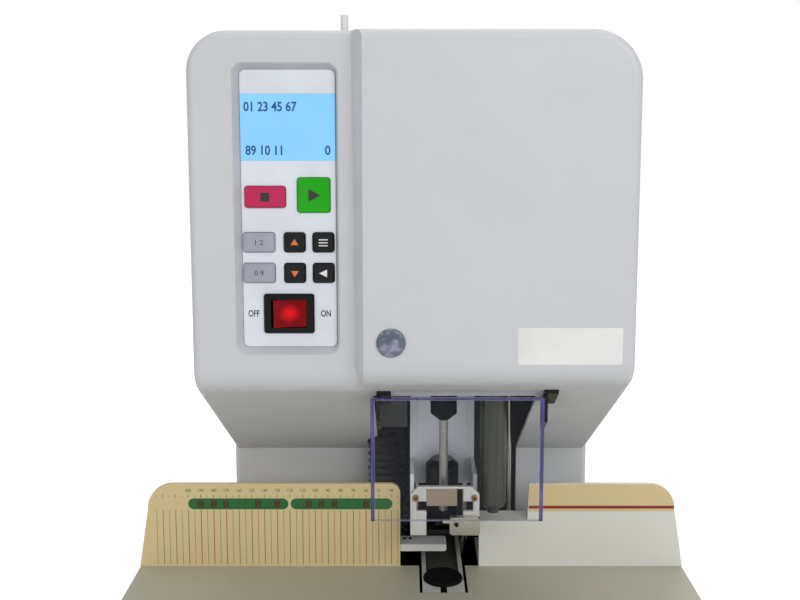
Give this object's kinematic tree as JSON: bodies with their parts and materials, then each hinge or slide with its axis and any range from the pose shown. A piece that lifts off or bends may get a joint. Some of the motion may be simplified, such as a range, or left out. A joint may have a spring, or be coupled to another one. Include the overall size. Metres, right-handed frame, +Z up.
{
  "type": "document riveting machine",
  "caption": "Desktop paper drilling and riveting machine: T-shaped base with table and fence, tall head with slanted front, key panel, clear guard, drill, rivet press and chip drawer.",
  "frame": {"origin": "on the desk, at the middle of the machine's footprint", "axes": "+Z up, +X to the user's right, the user sits at -Y"},
  "size_m": [0.43, 0.39, 0.543],
  "materials": {
    "rubber_black": "satin rubber",
    "dark_paint": "fine textured paint",
    "steel_plain": "zinc plated",
    "table_paint": "textured paint",
    "body_paint": "fine textured powder coat",
    "black_plastic": "moulded",
    "machined_steel": "machined",
    "tray_pale": "satin moulded",
    "panel_film": "printed film",
    "lcd": "backlit display",
    "board_green": "solder mask",
    "lens_slate": "moulded",
    "clear_guard": "clear acrylic",
    "bright_steel": "ground and polished",
    "hose_black": "corrugated",
    "transformer_iron": "varnished",
    "rocker_red": "moulded",
    "key_magenta": "moulded",
    "key_green": "moulded",
    "key_grey": "moulded",
    "beige_plate": "moulded",
    "nickel": "nickel plated",
    "yellow_zinc": "yellow zinc plated",
    "motor_case": "cast",
    "cast_alloy": "machined",
    "arm_insert": "moulded",
    "pad_black": "nylon",
    "nylon_tube": "nylon"
  },
  "bodies": {
    "machine": {"rubber_feet": "rubber_black", "base_housing": "dark_paint", "bottom_plate": "steel_plain", "table_plate": "table_paint", "fence_left": "body_paint", "fence_right": "body_paint", "fence_screws": "black_plastic", "head_shell": "body_paint", "front_cover": "body_paint", "rear_cover": "body_paint", "cover_screws": "machined_steel", "control_panel": "tray_pale", "panel_plate": "panel_film", "lcd_module": "lcd", "switch_body": "black_plastic", "circuit_boards": "board_green", "sensor_lens": "lens_slate", "guard_shield": "clear_guard", "guard_brackets": "dark_paint", "main_frame": "dark_paint", "guide_rods": "bright_steel", "lead_screws": "machined_steel", "chip_hose": "hose_black", "tube_feeder": "black_plastic", "power_inlet": "black_plastic", "transformer": "transformer_iron"},
    "drawer": {"waste_drawer": "dark_paint"},
    "rocker": {"power_rocker": "rocker_red"},
    "key_stop_body": {"key_stop": "key_magenta"},
    "key_start_body": {"key_start": "key_green"},
    "key_mode_body": {"key_mode": "key_grey"},
    "key_count_body": {"key_count": "key_grey"},
    "key_up_body": {"key_up": "black_plastic"},
    "key_down_body": {"key_down": "black_plastic"},
    "key_menu_body": {"key_menu": "black_plastic"},
    "key_exit_body": {"key_exit": "black_plastic"},
    "presser": {"presser_foot": "machined_steel", "presser_bracket": "machined_steel", "shield_plate": "beige_plate", "clamp_block": "nickel", "presser_bolts": "yellow_zinc", "chip_nozzle": "black_plastic", "presser_motor": "motor_case"},
    "shift": {"shift_frame": "dark_paint", "shift_motor": "motor_case", "feed_posts": "bright_steel", "feed_screws": "machined_steel"},
    "drill": {"drill_carriage": "cast_alloy", "drill_motor": "motor_case", "drill_feed_motor": "motor_case"},
    "spindle": {"drill_chuck": "machined_steel", "drill_bit": "bright_steel"},
    "press": {"press_carriage": "cast_alloy", "press_barrel": "bright_steel", "press_feed_motor": "motor_case"},
    "arm": {"arm_frame": "machined_steel", "arm_tray": "arm_insert", "drill_pad": "pad_black"},
    "die": {"lower_die": "bright_steel"},
    "tube": {"rivet_tube": "nylon_tube"}
  },
  "joints": [
    {"name": "drawer_slide", "type": "slide", "parent": "machine", "child": "drawer", "axis": [0, -1, 0], "range_m": [0, 0.15]},
    {"name": "rocker_tilt", "type": "hinge", "parent": "machine", "child": "rocker", "pos_m": [-0.0835, -0.128, 0.3373], "axis": [0, 0, 1], "range_deg": [-16, 0]},
    {"name": "key_stop_push", "type": "slide", "parent": "machine", "child": "key_stop_body", "axis": [0, 1, 0], "range_m": [0, 0.001], "stiffness_N_per_m": 600, "springref_m": -0.0005},
    {"name": "key_start_push", "type": "slide", "parent": "machine", "child": "key_start_body", "axis": [0, 1, 0], "range_m": [0, 0.001], "stiffness_N_per_m": 600, "springref_m": -0.0005},
    {"name": "key_mode_push", "type": "slide", "parent": "machine", "child": "key_mode_body", "axis": [0, 1, 0], "range_m": [0, 0.001], "stiffness_N_per_m": 600, "springref_m": -0.0005},
    {"name": "key_count_push", "type": "slide", "parent": "machine", "child": "key_count_body", "axis": [0, 1, 0], "range_m": [0, 0.001], "stiffness_N_per_m": 600, "springref_m": -0.0005},
    {"name": "key_up_push", "type": "slide", "parent": "machine", "child": "key_up_body", "axis": [0, 1, 0], "range_m": [0, 0.001], "stiffness_N_per_m": 600, "springref_m": -0.0005},
    {"name": "key_down_push", "type": "slide", "parent": "machine", "child": "key_down_body", "axis": [0, 1, 0], "range_m": [0, 0.001], "stiffness_N_per_m": 600, "springref_m": -0.0005},
    {"name": "key_menu_push", "type": "slide", "parent": "machine", "child": "key_menu_body", "axis": [0, 1, 0], "range_m": [0, 0.001], "stiffness_N_per_m": 600, "springref_m": -0.0005},
    {"name": "key_exit_push", "type": "slide", "parent": "machine", "child": "key_exit_body", "axis": [0, 1, 0], "range_m": [0, 0.001], "stiffness_N_per_m": 600, "springref_m": -0.0005},
    {"name": "presser_slide", "type": "slide", "parent": "machine", "child": "presser", "axis": [0, 0, 1], "range_m": [-0.038, 0.014]},
    {"name": "head_shift", "type": "slide", "parent": "machine", "child": "shift", "axis": [1, 0, 0], "range_m": [-0.038, 0]},
    {"name": "drill_feed", "type": "slide", "parent": "shift", "child": "drill", "axis": [0, 0, 1], "range_m": [-0.052, 0]},
    {"name": "spindle_spin", "type": "hinge", "parent": "drill", "child": "spindle", "pos_m": [0.0245, -0.065, 0.3], "axis": [0, 0, 1], "continuous": true},
    {"name": "press_feed", "type": "slide", "parent": "shift", "child": "press", "axis": [0, 0, 1], "range_m": [-0.051, 0]},
    {"name": "arm_slide", "type": "slide", "parent": "machine", "child": "arm", "axis": [0, 1, 0], "range_m": [0, 0.075]},
    {"name": "die_lift", "type": "slide", "parent": "machine", "child": "die", "axis": [0, 0, 1], "range_m": [0, 0.024]},
    {"name": "tube_slide", "type": "slide", "parent": "machine", "child": "tube", "axis": [0, 0, 1], "range_m": [0, 0.09]}
  ],
  "couplings": [
    {"joint": "die_lift", "follows": "arm_slide", "ratio": 0.32}
  ]
}
